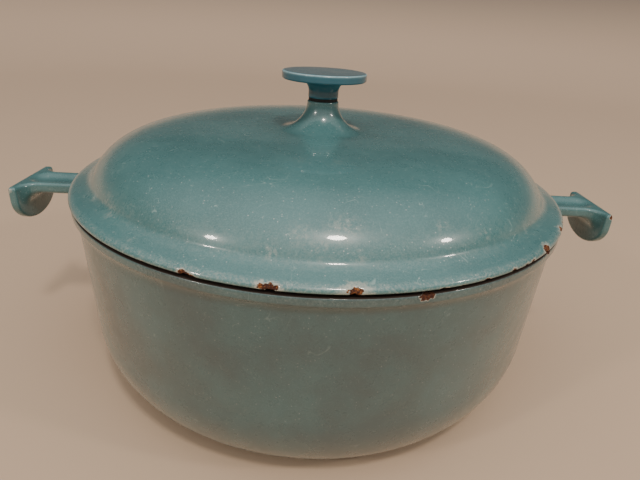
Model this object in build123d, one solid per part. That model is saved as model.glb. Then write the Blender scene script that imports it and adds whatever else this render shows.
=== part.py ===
from build123d import *
import os
from math import atan2, cos, pi, sin

# A round cast iron casserole: a pot with two handles cast in one with it, and a domed lid whose knob
# is held by one screw from beneath. Millimetres, +Z up, origin at the centre of the base on the
# table, handles along X. Heights called "over the seam" count from the plane where lid meets pot.

# Overall
SEAM_HEIGHT = 113.0  # the plane where the lid rests on the pot, over the table
LID_RADIUS = 140.0  # outer edge of the lid's rim
CASTING_WALL = 4.0  # wall of the pot
BASE_WALL = 4.5  # base of the pot
LID_WALL = 3.6  # wall of the lid's dome

# Pot, radii and heights over the table
COLLAR_RADIUS = 139.5
COLLAR_HEIGHT = 5.6
WALL_TOP_RADIUS = 137.0
WALL_FOOT_RADIUS = 134.4
WALL_FOOT_HEIGHT = 43.9
BASE_RADIUS = 103.3  # where the rounded foot of the wall runs out
FOOT_RING_HEIGHT = 1.6
FOOT_RING_WIDTH = 6.0
COVE_DROP = 5.9  # height of the hollow under the collar
RIM_OUTER_ROUND = 1.0
RIM_LAND_RADIUS = 135.2  # outer edge of the flat land that the lid rests on
RIM_STEP = 1.7  # how far the rim drops outside that land, which leaves the dark gap under the lid
RIM_INNER_ROUND = 1.5

# Lid, heights over the seam
DOME_HEIGHT = 30.7
DOME_RADIUS = 129.9  # where the dome's curve would meet the seam
DOME_POWER = 6.4
DOME_ROUNDNESS = 0.56
DOME_EDGE = 127.8  # where the dome turns out into the flange
FLANGE_INNER = (132.4, 5.0)
FLANGE_OUTER = (136.9, 3.6)
EDGE_HEIGHT = 0.9  # height of the outermost edge, and the round under it
LIP_RADIUS = 131.4
LIP_WIDTH = 3.2
LIP_DEPTH = 5.0
FLARE_RADIUS = 25.5  # where the knob's pedestal runs out on the dome
PEDESTAL_RADIUS = 9.1
PEDESTAL_TOP = 47.2
PEDESTAL_ROUND = 0.7
RECESS_RADIUS = 8.0
RECESS_CEILING = 30.0
SCREW_HOLE_RADIUS = 3.3

# Knob and its fixings, heights over the seam
GASKET_RADIUS = 8.4
GASKET_THICKNESS = 1.7
KNOB_FOOT = PEDESTAL_TOP + GASKET_THICKNESS
NECK_RADIUS = 8.7
NECK_FILLET = 6.5
DISC_RADIUS = 24.2
DISC_THICKNESS = 4.6
KNOB_TOP = 63.4
DISC_ROUND = 1.0
INSERT_RADIUS = 4.75
INSERT_LENGTH = 9.0
INSERT_GROOVE_DEPTH = 0.6
INSERT_GROOVE_WIDTH = 2.0
INSERT_BORE_RADIUS = 3.05
SCREW_RADIUS = 3.0
SCREW_LENGTH = 30.0
SCREW_HEAD_RADIUS = 6.0
SCREW_HEAD_HEIGHT = 3.6
SCREW_HEAD_ROUND = 1.8
SCREW_SLOT_WIDTH = 1.6
SCREW_SLOT_DEPTH = 1.6
SCREW_TIP_CHAMFER = 0.6
FLAT_WASHER_RADIUS = 6.0
FLAT_WASHER_THICKNESS = 1.6
SPRING_WASHER_RADIUS = 5.9
SPRING_WASHER_THICKNESS = 1.6
SPRING_WASHER_GAP = 1.0
WASHER_HOLE_RADIUS = 3.2

# Handles, along X
HANDLE_TOP_DROP = 7.5  # top of the bar under the seam
BAR_WIDTH = 24.4
BAR_THICKNESS = 6.4
BAR_CORNER = 2.2
BAR_ROOT = 135.0  # the bar starts inside the pot's wall
PLATE_WIDTH = 46.0
PLATE_SIDE = 8.8  # straight part of the plate's sides, above its rounded bottom
PLATE_HEIGHT = 24.2
PLATE_THICKNESS = 4.4
PLATE_OUTER = 178.3
PLATE_FILLET = 9.0
GROOVE_RADIUS = 16.0
GROOVE_DEPTH = 2.4
GROOVE_END = 175.0
TOP_ROUND = 1.8
EDGE_ROUND = 1.1


def revolved(edges):
    """Turn a closed outline, drawn as (radius, height), about the vertical axis."""
    return revolve(Plane.XZ * make_face(edges), Axis.Z)


def ring(outer, inner, foot, thickness):
    """A flat ring with its lower face at the height foot."""
    solid = Cylinder(outer, thickness) - Cylinder(inner, thickness)
    return Pos(0, 0, foot + thickness / 2) * solid


def dome_height(radius):
    """Height of the dome's outside over the seam: a flat crown that steepens to its edge."""
    return DOME_HEIGHT * (1 - (abs(radius) / DOME_RADIUS) ** DOME_POWER) ** DOME_ROUNDNESS


def dome_slope(radius):
    """Rise over run of the dome's outside."""
    step = 0.01
    return (dome_height(radius + step) - dome_height(radius - step)) / (2 * step)


def dome_inside(radius):
    """The point of the dome's inside that faces the outside at a given radius."""
    angle = atan2(dome_slope(radius), 1)
    return (radius + LID_WALL * sin(angle), dome_height(radius) - LID_WALL * cos(angle))


def pot_shell():
    """Pot without its handles: foot ring, rounded foot, slightly flared wall and collar."""
    ring_inner = BASE_RADIUS - FOOT_RING_WIDTH
    floor = FOOT_RING_HEIGHT + BASE_WALL
    foot_round = (WALL_FOOT_RADIUS - BASE_RADIUS, WALL_FOOT_HEIGHT - FOOT_RING_HEIGHT)
    inner_foot = (foot_round[0] - CASTING_WALL, WALL_FOOT_HEIGHT - floor)
    collar_foot = SEAM_HEIGHT - COLLAR_HEIGHT
    inner_top = WALL_TOP_RADIUS - CASTING_WALL
    corner = 0.5
    foot_centre = (BASE_RADIUS, WALL_FOOT_HEIGHT)
    shoulder = SEAM_HEIGHT - RIM_STEP
    rim_outer = COLLAR_RADIUS - RIM_OUTER_ROUND
    edges = [
        Line((0, FOOT_RING_HEIGHT), (ring_inner - 1, FOOT_RING_HEIGHT)),
        Line((ring_inner - 1, FOOT_RING_HEIGHT), (ring_inner, 0)),
        Line((ring_inner, 0), (BASE_RADIUS - 1, 0)),
        Line((BASE_RADIUS - 1, 0), (BASE_RADIUS, FOOT_RING_HEIGHT)),
        EllipticalCenterArc(foot_centre, *foot_round, start_angle=270, arc_size=90),
        Line((WALL_FOOT_RADIUS, WALL_FOOT_HEIGHT), (WALL_TOP_RADIUS, collar_foot - COVE_DROP)),
        TangentArc(
            (WALL_TOP_RADIUS, collar_foot - COVE_DROP),
            (COLLAR_RADIUS - corner, collar_foot - corner),
            tangent=(0, 1),
        ),
        Line((COLLAR_RADIUS - corner, collar_foot - corner), (COLLAR_RADIUS, collar_foot)),
        Line((COLLAR_RADIUS, collar_foot), (COLLAR_RADIUS, shoulder - RIM_OUTER_ROUND)),
        TangentArc(
            (COLLAR_RADIUS, shoulder - RIM_OUTER_ROUND),
            (rim_outer, shoulder),
            tangent=(0, 1),
        ),
        Line((rim_outer, shoulder), (RIM_LAND_RADIUS + 0.5, shoulder)),
        Line((RIM_LAND_RADIUS + 0.5, shoulder), (RIM_LAND_RADIUS, SEAM_HEIGHT)),
        Line((RIM_LAND_RADIUS, SEAM_HEIGHT), (inner_top + RIM_INNER_ROUND, SEAM_HEIGHT)),
        TangentArc(
            (inner_top + RIM_INNER_ROUND, SEAM_HEIGHT),
            (inner_top, SEAM_HEIGHT - RIM_INNER_ROUND),
            tangent=(-1, 0),
        ),
        Line(
            (inner_top, SEAM_HEIGHT - RIM_INNER_ROUND),
            (WALL_FOOT_RADIUS - CASTING_WALL, WALL_FOOT_HEIGHT),
        ),
        EllipticalCenterArc(foot_centre, *inner_foot, start_angle=270, arc_size=90),
        Line((BASE_RADIUS, floor), (0, floor)),
        Line((0, floor), (0, FOOT_RING_HEIGHT)),
    ]
    return revolved(edges)


def handle():
    """The handle at +X: a grooved flat bar that ends in a hanging plate with a rounded bottom."""
    top = SEAM_HEIGHT - HANDLE_TOP_DROP
    plate_inner = PLATE_OUTER - PLATE_THICKNESS
    length = plate_inner - BAR_ROOT
    bar = Pos(BAR_ROOT + length / 2, 0, top - BAR_THICKNESS / 2) * Box(length, BAR_WIDTH, BAR_THICKNESS)
    bar = fillet(bar.edges().filter_by(Axis.X).sort_by(Axis.Z)[:2], BAR_CORNER)
    half = PLATE_WIDTH / 2
    plate_edges = [
        Line((half, top - PLATE_SIDE), (half, top)),
        Line((half, top), (-half, top)),
        Line((-half, top), (-half, top - PLATE_SIDE)),
        EllipticalCenterArc(
            (0, top - PLATE_SIDE), half, PLATE_HEIGHT - PLATE_SIDE, start_angle=180, arc_size=180
        ),
    ]
    plate = extrude(Plane.YZ.offset(plate_inner) * make_face(plate_edges), PLATE_THICKNESS)
    body = bar + plate
    inner_face = body.edges().filter_by_position(Axis.X, plate_inner - 0.01, plate_inner + 0.01)
    corner = inner_face.filter_by_position(Axis.Y, -BAR_WIDTH / 2 - 0.01, BAR_WIDTH / 2 + 0.01)
    body = fillet(corner.filter_by_position(Axis.Z, top - BAR_THICKNESS - 0.01, top - 0.01), PLATE_FILLET)
    top_edges = body.edges().filter_by_position(Axis.Z, top - 0.01, top + 0.01)
    body = fillet(top_edges.filter_by_position(Axis.X, BAR_ROOT + 0.01, PLATE_OUTER - 0.01), TOP_ROUND)
    outer_edges = body.edges().filter_by_position(Axis.X, PLATE_OUTER - 0.01, PLATE_OUTER + 0.01)
    body = fillet(outer_edges, EDGE_ROUND)
    groove_half = (GROOVE_RADIUS**2 - (GROOVE_RADIUS - GROOVE_DEPTH) ** 2) ** 0.5
    groove_end = GROOVE_END - groove_half
    groove_length = groove_end - BAR_ROOT + 1
    cutter = Rot(0, 90, 0) * Cylinder(GROOVE_RADIUS, groove_length)
    axis_height = top + GROOVE_RADIUS - GROOVE_DEPTH
    body -= Pos(groove_end - groove_length / 2, 0, axis_height) * cutter
    body -= Pos(groove_end, 0, axis_height) * Sphere(GROOVE_RADIUS)
    return body


def pot():
    """The pot with a handle at each end of X, one casting."""
    shell = pot_shell()
    one = handle()
    return shell + one + Rot(0, 0, 180) * one


def lid():
    """The lid: flange, dome, pedestal for the knob, locating lip, and the screw's hole and recess."""
    inner_steps = [0.0, 40.0, 70.0, 90.0, 104.0, 114.0, 121.0, 126.0, DOME_EDGE]
    outer_steps = [FLARE_RADIUS, 50.0, 70.0, 88.0, 102.0, 112.0, 119.0, 124.5, DOME_EDGE]
    flare_foot = (FLARE_RADIUS, dome_height(FLARE_RADIUS))
    edge_slope = (1, dome_slope(DOME_EDGE))
    flange_slope = (FLANGE_OUTER[0] - FLANGE_INNER[0], FLANGE_OUTER[1] - FLANGE_INNER[1])
    rim_mid = (LID_RADIUS, EDGE_HEIGHT)
    rim_foot = (LID_RADIUS - EDGE_HEIGHT, 0)
    lip_inner = LIP_RADIUS - LIP_WIDTH
    edges = [
        Line((0, PEDESTAL_TOP), (PEDESTAL_RADIUS - PEDESTAL_ROUND, PEDESTAL_TOP)),
        TangentArc(
            (PEDESTAL_RADIUS - PEDESTAL_ROUND, PEDESTAL_TOP),
            (PEDESTAL_RADIUS, PEDESTAL_TOP - PEDESTAL_ROUND),
            tangent=(1, 0),
        ),
        Spline(
            (PEDESTAL_RADIUS, PEDESTAL_TOP - PEDESTAL_ROUND),
            (9.7, 42.7),
            (11.65, 38.5),
            (16.5, 33.6),
            flare_foot,
            tangents=[(0, -1), (1, dome_slope(FLARE_RADIUS))],
        ),
        Spline(
            *[(radius, dome_height(radius)) for radius in outer_steps],
            tangents=[(1, dome_slope(FLARE_RADIUS)), edge_slope],
        ),
        Spline((DOME_EDGE, dome_height(DOME_EDGE)), FLANGE_INNER, tangents=[edge_slope, flange_slope]),
        Line(FLANGE_INNER, FLANGE_OUTER),
        Spline(FLANGE_OUTER, rim_mid, tangents=[flange_slope, (0, -1)]),
        TangentArc(rim_mid, rim_foot, tangent=(0, -1)),
        Line(rim_foot, (LIP_RADIUS, 0)),
        Line((LIP_RADIUS, 0), (LIP_RADIUS, 1 - LIP_DEPTH)),
        TangentArc((LIP_RADIUS, 1 - LIP_DEPTH), (LIP_RADIUS - 1, -LIP_DEPTH), tangent=(0, -1)),
        Line((LIP_RADIUS - 1, -LIP_DEPTH), (lip_inner, -LIP_DEPTH)),
        Line((lip_inner, -LIP_DEPTH), dome_inside(DOME_EDGE)),
        Spline(*[dome_inside(radius) for radius in reversed(inner_steps)], tangents=[(-1, 1.8), (-1, 0)]),
        Line(dome_inside(0), (0, PEDESTAL_TOP)),
    ]
    body = revolved(edges)
    recess = Pos(0, 0, RECESS_CEILING / 2) * Cylinder(RECESS_RADIUS, RECESS_CEILING)
    hole = Pos(0, 0, PEDESTAL_TOP / 2) * Cylinder(SCREW_HOLE_RADIUS, 2 * PEDESTAL_TOP)
    return Pos(0, 0, SEAM_HEIGHT) * (body - recess - hole)


def knob_insert():
    """Brass threaded bush moulded into the knob, with a groove that keys it in."""
    groove_foot = KNOB_FOOT + (INSERT_LENGTH - INSERT_GROOVE_WIDTH) / 2
    bush = ring(INSERT_RADIUS, INSERT_BORE_RADIUS, KNOB_FOOT, INSERT_LENGTH)
    groove = ring(
        INSERT_RADIUS + 1, INSERT_RADIUS - INSERT_GROOVE_DEPTH, groove_foot, INSERT_GROOVE_WIDTH
    )
    return Pos(0, 0, SEAM_HEIGHT) * (bush - groove)


def knob(insert):
    """The knob: a short neck that spreads into a flat disc, moulded round the insert."""
    disc_foot = KNOB_TOP - DISC_THICKNESS
    edges = [
        Line((0, KNOB_FOOT), (NECK_RADIUS, KNOB_FOOT)),
        Line((NECK_RADIUS, KNOB_FOOT), (NECK_RADIUS, disc_foot - NECK_FILLET)),
        TangentArc(
            (NECK_RADIUS, disc_foot - NECK_FILLET),
            (NECK_RADIUS + NECK_FILLET, disc_foot),
            tangent=(0, 1),
        ),
        Line((NECK_RADIUS + NECK_FILLET, disc_foot), (DISC_RADIUS - DISC_ROUND, disc_foot)),
        TangentArc(
            (DISC_RADIUS - DISC_ROUND, disc_foot),
            (DISC_RADIUS, disc_foot + DISC_ROUND),
            tangent=(1, 0),
        ),
        Line((DISC_RADIUS, disc_foot + DISC_ROUND), (DISC_RADIUS, KNOB_TOP - DISC_ROUND)),
        TangentArc(
            (DISC_RADIUS, KNOB_TOP - DISC_ROUND),
            (DISC_RADIUS - DISC_ROUND, KNOB_TOP),
            tangent=(0, 1),
        ),
        Line((DISC_RADIUS - DISC_ROUND, KNOB_TOP), (0, KNOB_TOP)),
        Line((0, KNOB_TOP), (0, KNOB_FOOT)),
    ]
    bore = Pos(0, 0, SEAM_HEIGHT + KNOB_FOOT + INSERT_LENGTH / 2) * Cylinder(
        INSERT_BORE_RADIUS, INSERT_LENGTH
    )
    return Pos(0, 0, SEAM_HEIGHT) * revolved(edges) - insert - bore


def knob_gasket():
    """Heat-proof washer between the knob's neck and the pedestal."""
    return Pos(0, 0, SEAM_HEIGHT) * ring(GASKET_RADIUS, SCREW_HOLE_RADIUS, PEDESTAL_TOP, GASKET_THICKNESS)


def flat_washer():
    """Flat washer against the ceiling of the recess under the pedestal."""
    foot = RECESS_CEILING - FLAT_WASHER_THICKNESS
    return Pos(0, 0, SEAM_HEIGHT) * ring(
        FLAT_WASHER_RADIUS, WASHER_HOLE_RADIUS, foot, FLAT_WASHER_THICKNESS
    )


def spring_washer():
    """Split spring washer between the flat washer and the screw's head, pulled flat."""
    foot = RECESS_CEILING - FLAT_WASHER_THICKNESS - SPRING_WASHER_THICKNESS
    washer = ring(SPRING_WASHER_RADIUS, WASHER_HOLE_RADIUS, foot, SPRING_WASHER_THICKNESS)
    split = Box(SPRING_WASHER_RADIUS, SPRING_WASHER_GAP, 4 * SPRING_WASHER_THICKNESS)
    split = Rot(35, 0, 0) * Pos(SPRING_WASHER_RADIUS / 2 + 1, 0, 0) * split
    middle = foot + SPRING_WASHER_THICKNESS / 2
    return Pos(0, 0, SEAM_HEIGHT) * (washer - Pos(0, 0, middle) * split)


def knob_screw():
    """Slotted pan-head screw that comes up through the lid into the knob's insert."""
    seat = RECESS_CEILING - FLAT_WASHER_THICKNESS - SPRING_WASHER_THICKNESS
    shank = Pos(0, 0, seat + SCREW_LENGTH / 2) * Cylinder(SCREW_RADIUS, SCREW_LENGTH)
    shank = chamfer(shank.edges().sort_by(Axis.Z)[-1], SCREW_TIP_CHAMFER)
    head = Pos(0, 0, seat - SCREW_HEAD_HEIGHT / 2) * Cylinder(SCREW_HEAD_RADIUS, SCREW_HEAD_HEIGHT)
    head = fillet(head.edges().sort_by(Axis.Z)[0], SCREW_HEAD_ROUND)
    slot_height = seat - SCREW_HEAD_HEIGHT + SCREW_SLOT_DEPTH / 2
    slot = Pos(0, 0, slot_height) * Box(3 * SCREW_HEAD_RADIUS, SCREW_SLOT_WIDTH, SCREW_SLOT_DEPTH)
    return Pos(0, 0, SEAM_HEIGHT) * (shank + head - slot)


insert_piece = knob_insert()
pieces = {
    "pot": pot(),
    "lid": lid(),
    "knob": knob(insert_piece),
    "knob_insert": insert_piece,
    "knob_gasket": knob_gasket(),
    "knob_screw": knob_screw(),
    "flat_washer": flat_washer(),
    "spring_washer": spring_washer(),
}
os.makedirs("parts", exist_ok=True)
for name, piece in pieces.items():
    export_step(piece, f"parts/{name}.step")
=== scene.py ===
"""Looks of a round enamelled cast iron casserole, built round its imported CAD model."""

import math

import bpy
import numpy as np
from mathutils import Matrix, Vector, noise


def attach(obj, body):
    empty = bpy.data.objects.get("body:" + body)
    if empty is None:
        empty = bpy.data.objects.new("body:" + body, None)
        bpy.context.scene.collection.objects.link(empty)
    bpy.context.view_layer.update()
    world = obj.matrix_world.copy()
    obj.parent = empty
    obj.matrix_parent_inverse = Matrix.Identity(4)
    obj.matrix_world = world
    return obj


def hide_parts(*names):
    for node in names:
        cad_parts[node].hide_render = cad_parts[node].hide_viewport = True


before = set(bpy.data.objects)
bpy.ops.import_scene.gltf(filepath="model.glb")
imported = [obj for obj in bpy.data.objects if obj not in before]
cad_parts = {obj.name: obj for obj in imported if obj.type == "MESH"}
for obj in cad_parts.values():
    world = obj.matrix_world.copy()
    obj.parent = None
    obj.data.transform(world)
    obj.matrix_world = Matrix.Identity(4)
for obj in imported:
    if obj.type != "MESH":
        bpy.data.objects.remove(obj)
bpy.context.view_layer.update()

MM = 0.001
SEAM = 113.0  # height of the plane where lid meets pot, in mm over the table
LID_RADIUS = 140.0
COLLAR_RADIUS = 139.5
FULL_TURN = 2 * math.pi

# Lid, knob, insert and screw, heights in mm over the seam
DOME_HEIGHT = 30.7
DOME_RADIUS = 129.9
DOME_POWER = 6.4
DOME_ROUNDNESS = 0.56
DOME_EDGE = 127.8
LID_WALL = 3.6
FLANGE_INNER = (132.4, 5.0)
FLANGE_OUTER = (136.9, 3.6)
FLANGE_SLOPE = (4.5, -1.4)
EDGE_HEIGHT = 0.9
LIP_RADIUS = 131.4
LIP_INNER = 128.2
LIP_DEPTH = 5.0
LIP_ROUND = 1.0
FLARE_RADIUS = 25.5
FLARE_POWER = 1.9
PEDESTAL_RADIUS = 9.1
PEDESTAL_TOP = 47.2
PEDESTAL_ROUND = 0.7
RECESS_RADIUS = 8.0
RECESS_CEILING = 30.0
RECESS_ROUND = 1.0
SCREW_HOLE = 3.3
KNOB_FOOT = 48.9
KNOB_TOP = 63.4
NECK_RADIUS = 8.7
NECK_ROUND = 0.4
NECK_FILLET = 6.5
DISC_RADIUS = 24.2
DISC_FOOT = 58.8
DISC_ROUND = 1.0
INSERT_RADIUS = 4.75
INSERT_BORE = 3.05
INSERT_TOP = 57.9
KNURLS = 18  # ridges round the insert in each of the two directions
KNURL_LEAN = 2.2
KNURL_DEPTH = 0.25
KNURL_MARGIN = 0.3
INSERT_GROOVE_FOOT = 3.4  # over the insert's own foot
INSERT_GROOVE_TOP = 5.6
INSERT_GROOVE_DEPTH = 0.6
SCREW_SEAT = 26.8
SCREW_TIP = SCREW_SEAT + 30.0
SCREW_RADIUS = 3.0
THREAD_PITCH = 1.0
THREAD_DEPTH = 0.55
HEAD_RADIUS = 6.0
HEAD_HEIGHT = 3.6
HEAD_ROUND = 1.8
SLOT_DEPTH = 1.6
SLOT_HALF = 0.8

# Pot, heights in mm over the table
WALL = 4.0
WALL_TOP_RADIUS = 137.0
WALL_FOOT_RADIUS = 134.4
WALL_FOOT_HEIGHT = 43.9
BASE_RADIUS = 103.3
FOOT_RING = 1.6
RING_WIDTH = 6.0
FLOOR = 6.1
COLLAR_FOOT = 107.4
COVE_FOOT = 101.5
RIM_STEP = 1.7  # how far the rim drops outside the land that the lid rests on
RIM_LAND = 135.2
RIM_ROUND = 1.0
INNER_ROUND = 1.5

# Handles: distances from the axis, and heights over the seam, in mm
BAR_TOP = -7.5
BAR_FOOT = -13.9
BAR_HALF = 12.2
BAR_CORNER = 2.2
PLATE_OUTER = 178.3
PLATE_INNER = 173.9
PLATE_HALF = 23.0
PLATE_SIDE = 8.8  # straight part of the plate's sides
PLATE_ROUND = 15.4  # height of the rounded bottom under it
PLATE_FILLET = 9.0
GROOVE_RADIUS = 16.0
GROOVE_DEPTH = 2.4
GROOVE_END = 166.6
TOP_ROUND = 2.0
EDGE_ROUND = 1.2
ROOT_FILLET = 4.0
ROOT_SUNK = 0.25  # how far the root's fillet is let into the pot's wall
ROOT_INSIDE = 134.8  # where the handle ends, hidden within the wall

# Chips in the enamel: angle round the rim in degrees, height in mm, half width, half height, halo
LID_CHIPS = [
    (-120.8, 0.1, 0.9, 0.4, 0.3),
    (-112.3, 0.8, 2.8, 1.3, 0.8),
    (-110.9, 0.3, 1.4, 0.8, 0.5),
    (-98.7, 1.3, 3.8, 1.7, 1.3),
    (-91.6, 3.6, 0.5, 0.4, 0.7),
    (-85.6, 1.4, 2.7, 1.7, 3.4),
    (-71.0, 0.2, 1.7, 0.6, 0.4),
    (-67.3, 0.1, 1.0, 0.5, 0.4),
    (-62.3, 0.2, 1.8, 0.7, 0.5),
    (-55.3, 0.4, 1.6, 0.9, 0.7),
    (-51.5, 0.3, 1.2, 0.9, 0.7),
    (-49.3, 0.7, 1.5, 1.1, 0.8),
    (-43.0, 1.7, 3.1, 2.3, 2.0),
    (-31.0, 1.5, 3.0, 1.9, 1.8),
    (-26.2, 1.2, 2.2, 1.1, 0.9),
    (-153.5, 0.6, 1.3, 1.1, 0.6),
    (-140.0, 0.1, 1.0, 0.5, 0.4),
    (64.0, 0.9, 2.8, 1.5, 1.1),
    (118.0, 0.5, 2.0, 1.0, 0.8),
    (171.0, 0.9, 1.7, 1.2, 0.9),
]
POT_CHIPS = [
    (-73.5, 110.9, 3.0, 1.9, 0.3),
    (-40.5, 111.0, 2.0, 1.0, 0.5),
    (33.0, 110.9, 2.2, 1.2, 0.6),
    (140.0, 111.1, 1.4, 0.7, 0.5),
]
# Chips on the handles: a point in mm over the seam, then radius and halo
HANDLE_CHIPS = {
    "right": [((178.3, -22.7, -8.7), 2.0, 0.7)],
    "left": [((-178.4, -22.9, -8.2), 1.1, 1.8), ((-176.5, 22.6, -8.2), 1.4, 0.8)],
}
# Pale scuffs on the lid: angle in degrees, distance from the axis, radius, strength
SCUFFS = [
    (-137.5, 129.3, 3.5, 0.9),
    (-141.5, 126.0, 2.5, 0.7),
    (-147.3, 129.2, 3.0, 0.9),
    (-152.0, 131.5, 2.5, 0.6),
    (-126.3, 134.8, 3.0, 0.6),
    (-131.5, 126.0, 2.5, 0.6),
    (-94.7, 122.8, 4.5, 0.7),
    (-86.6, 120.0, 6.0, 0.8),
    (-91.1, 125.0, 4.5, 0.7),
    (-99.4, 127.5, 2.5, 0.9),
    (-84.0, 127.5, 2.5, 0.6),
    (-67.0, 121.0, 3.0, 0.6),
    (-57.4, 125.8, 2.5, 0.7),
    (-43.0, 128.3, 2.5, 0.8),
    (20.0, 124.0, 3.5, 0.6),
    (95.0, 126.0, 3.5, 0.6),
]

# The lid's rim is rubbed below this height and outside this radius, and its dome's edge all round
RUB_TOP = 4.4
RUB_RADIUS = 136.2
RUB_FADE = 1.6
SCUFFED_RADIUS = 128
SCUFFED_WIDTH = 6

# Colours of the enamel, of what wears it, and of what lies under it
DEEP_TEAL = (0.060, 0.166, 0.176)
TEAL = (0.074, 0.194, 0.204)
PALE_GRAIN = (0.23, 0.38, 0.38)
PALE_SPECK = (0.45, 0.52, 0.50)
SCRATCH = (0.32, 0.46, 0.44)
# painted shade: darkens the pot's wall, which faces away from the light, and the roots of its handles
WALL_SHADE_COLOUR = (0.050, 0.048, 0.044)
RUBBED = (0.44, 0.47, 0.42)
CHIP_HALO = (0.52, 0.51, 0.43)
CHIP_EDGE = (0.52, 0.50, 0.42)
CREAM = (0.70, 0.66, 0.55)
CREAM_STAIN = (0.52, 0.42, 0.28)
CREAM_SPECK = (0.35, 0.30, 0.22)
BLACK_IRON = (0.012, 0.007, 0.005)
BROWN_IRON = (0.040, 0.022, 0.014)
OLD_RUST = (0.050, 0.014, 0.008)
BRIGHT_RUST = (0.34, 0.12, 0.03)
SPECKLE = 0.4

FLOOR_RADIUS = 1500  # of the flat floor, in mm
BACKDROP_RADIUS = 900


# Outlines: arrays of (radius, height) points in mm


def arc(centre, radius, start, end, steps):
    """Points on a circle from one angle to another, in degrees."""
    angles = np.radians(np.linspace(start, end, steps))
    return np.column_stack((centre[0] + radius * np.cos(angles), centre[1] + radius * np.sin(angles)))


def line(start, end, spacing):
    """Points on a straight stretch."""
    start, end = np.array(start, float), np.array(end, float)
    steps = max(2, int(np.ceil(np.linalg.norm(end - start) / spacing)) + 1)
    return start + np.linspace(0, 1, steps)[:, None] * (end - start)


def bend(start, end, leave, arrive, steps):
    """A smooth bend that leaves and arrives along the given directions."""
    start, end = np.array(start, float), np.array(end, float)
    reach = np.linalg.norm(end - start)
    leave = np.array(leave, float) / np.linalg.norm(leave) * reach
    arrive = np.array(arrive, float) / np.linalg.norm(arrive) * reach
    t = np.linspace(0, 1, steps)[:, None]
    return (
        (2 * t**3 - 3 * t**2 + 1) * start
        + (t**3 - 2 * t**2 + t) * leave
        + (3 * t**2 - 2 * t**3) * end
        + (t**3 - t**2) * arrive
    )


def chain(*stretches):
    """Stretches joined end to end, without the doubled points, and which stretch each point is in."""
    points, owner = [], []
    for number, stretch in enumerate(stretches):
        for point in stretch:
            if not points or np.linalg.norm(point - points[-1]) > 1e-4:
                points.append(point)
                owner.append(number)
    return np.array(points), np.array(owner)


def dome_height(radius):
    """Height of the dome's outside over the seam."""
    return DOME_HEIGHT * (1 - (np.abs(radius) / DOME_RADIUS) ** DOME_POWER) ** DOME_ROUNDNESS


def dome_slope(radius):
    """Rise over run of the dome's outside."""
    step = 0.01
    return (dome_height(radius + step) - dome_height(radius - step)) / (2 * step)


def dome_stretch(start, end, depth, spacing):
    """Points along the dome, moved in by depth, spaced evenly enough for its steep edge."""
    fine = np.linspace(start, end, 4001)
    angle = np.arctan(dome_slope(fine))
    points = np.column_stack((fine + depth * np.sin(angle), dome_height(fine) - depth * np.cos(angle)))
    along = np.concatenate(([0], np.cumsum(np.linalg.norm(np.diff(points, axis=0), axis=1))))
    turned = np.concatenate(([0], np.cumsum(np.abs(np.diff(angle)))))
    measure = along / spacing + turned / math.radians(3)
    picks = np.linspace(0, measure[-1], int(measure[-1]) + 2)
    return np.column_stack([np.interp(picks, measure, points[:, column]) for column in (0, 1)])


def lid_outline():
    """The lid's closed section, and which of its points carry the inside enamel."""
    t = np.linspace(0, math.pi / 2, 22)
    flare_width, flare_height = FLARE_RADIUS - PEDESTAL_RADIUS, PEDESTAL_TOP - PEDESTAL_ROUND
    flare_foot = float(dome_height(FLARE_RADIUS))
    flare = np.column_stack(
        (
            FLARE_RADIUS - flare_width * np.cos(t) ** (2 / FLARE_POWER),
            flare_foot + (flare_height - flare_foot) * (1 - np.sin(t) ** (2 / FLARE_POWER)),
        )
    )
    edge = (DOME_EDGE, float(dome_height(DOME_EDGE)))
    edge_way = (1, float(dome_slope(DOME_EDGE)))
    inner_edge = dome_stretch(DOME_EDGE, DOME_EDGE, LID_WALL, 1)[0]
    recess_mouth = float(dome_height(RECESS_RADIUS)) - LID_WALL
    lip_round = LIP_ROUND - LIP_DEPTH
    outside = [
        line((SCREW_HOLE, PEDESTAL_TOP), (PEDESTAL_RADIUS - PEDESTAL_ROUND, PEDESTAL_TOP), 2),
        arc((PEDESTAL_RADIUS - PEDESTAL_ROUND, flare_height), PEDESTAL_ROUND, 90, 0, 5),
        flare,
        dome_stretch(FLARE_RADIUS, DOME_EDGE, 0, 5.0),
        bend(edge, FLANGE_INNER, edge_way, FLANGE_SLOPE, 11),
        line(FLANGE_INNER, FLANGE_OUTER, 0.7),
        bend(FLANGE_OUTER, (LID_RADIUS, EDGE_HEIGHT), FLANGE_SLOPE, (0, -1), 13),
        arc((LID_RADIUS - EDGE_HEIGHT, EDGE_HEIGHT), EDGE_HEIGHT, 0, -90, 6),
    ]
    inside = [
        line((LID_RADIUS - EDGE_HEIGHT, 0), (LIP_RADIUS, 0), 1.2),
        line((LIP_RADIUS, 0), (LIP_RADIUS, lip_round), 1.3),
        arc((LIP_RADIUS - LIP_ROUND, lip_round), LIP_ROUND, 0, -90, 4),
        arc((LIP_INNER + LIP_ROUND, lip_round), LIP_ROUND, -90, -180, 4),
        bend((LIP_INNER, lip_round), inner_edge, (-0.15, 1), (-1, 1.9), 7),
        dome_stretch(DOME_EDGE, RECESS_RADIUS + RECESS_ROUND, LID_WALL, 10.0),
        arc((RECESS_RADIUS + RECESS_ROUND, recess_mouth + RECESS_ROUND), RECESS_ROUND, -90, -180, 4),
        line((RECESS_RADIUS, recess_mouth + RECESS_ROUND), (RECESS_RADIUS, RECESS_CEILING), 2),
        line((RECESS_RADIUS, RECESS_CEILING), (SCREW_HOLE, RECESS_CEILING), 2),
        line((SCREW_HOLE, RECESS_CEILING), (SCREW_HOLE, PEDESTAL_TOP - 1), 5),
    ]
    points, owner = chain(*outside, *inside)
    return points + [0, SEAM], owner >= len(outside)


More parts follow.
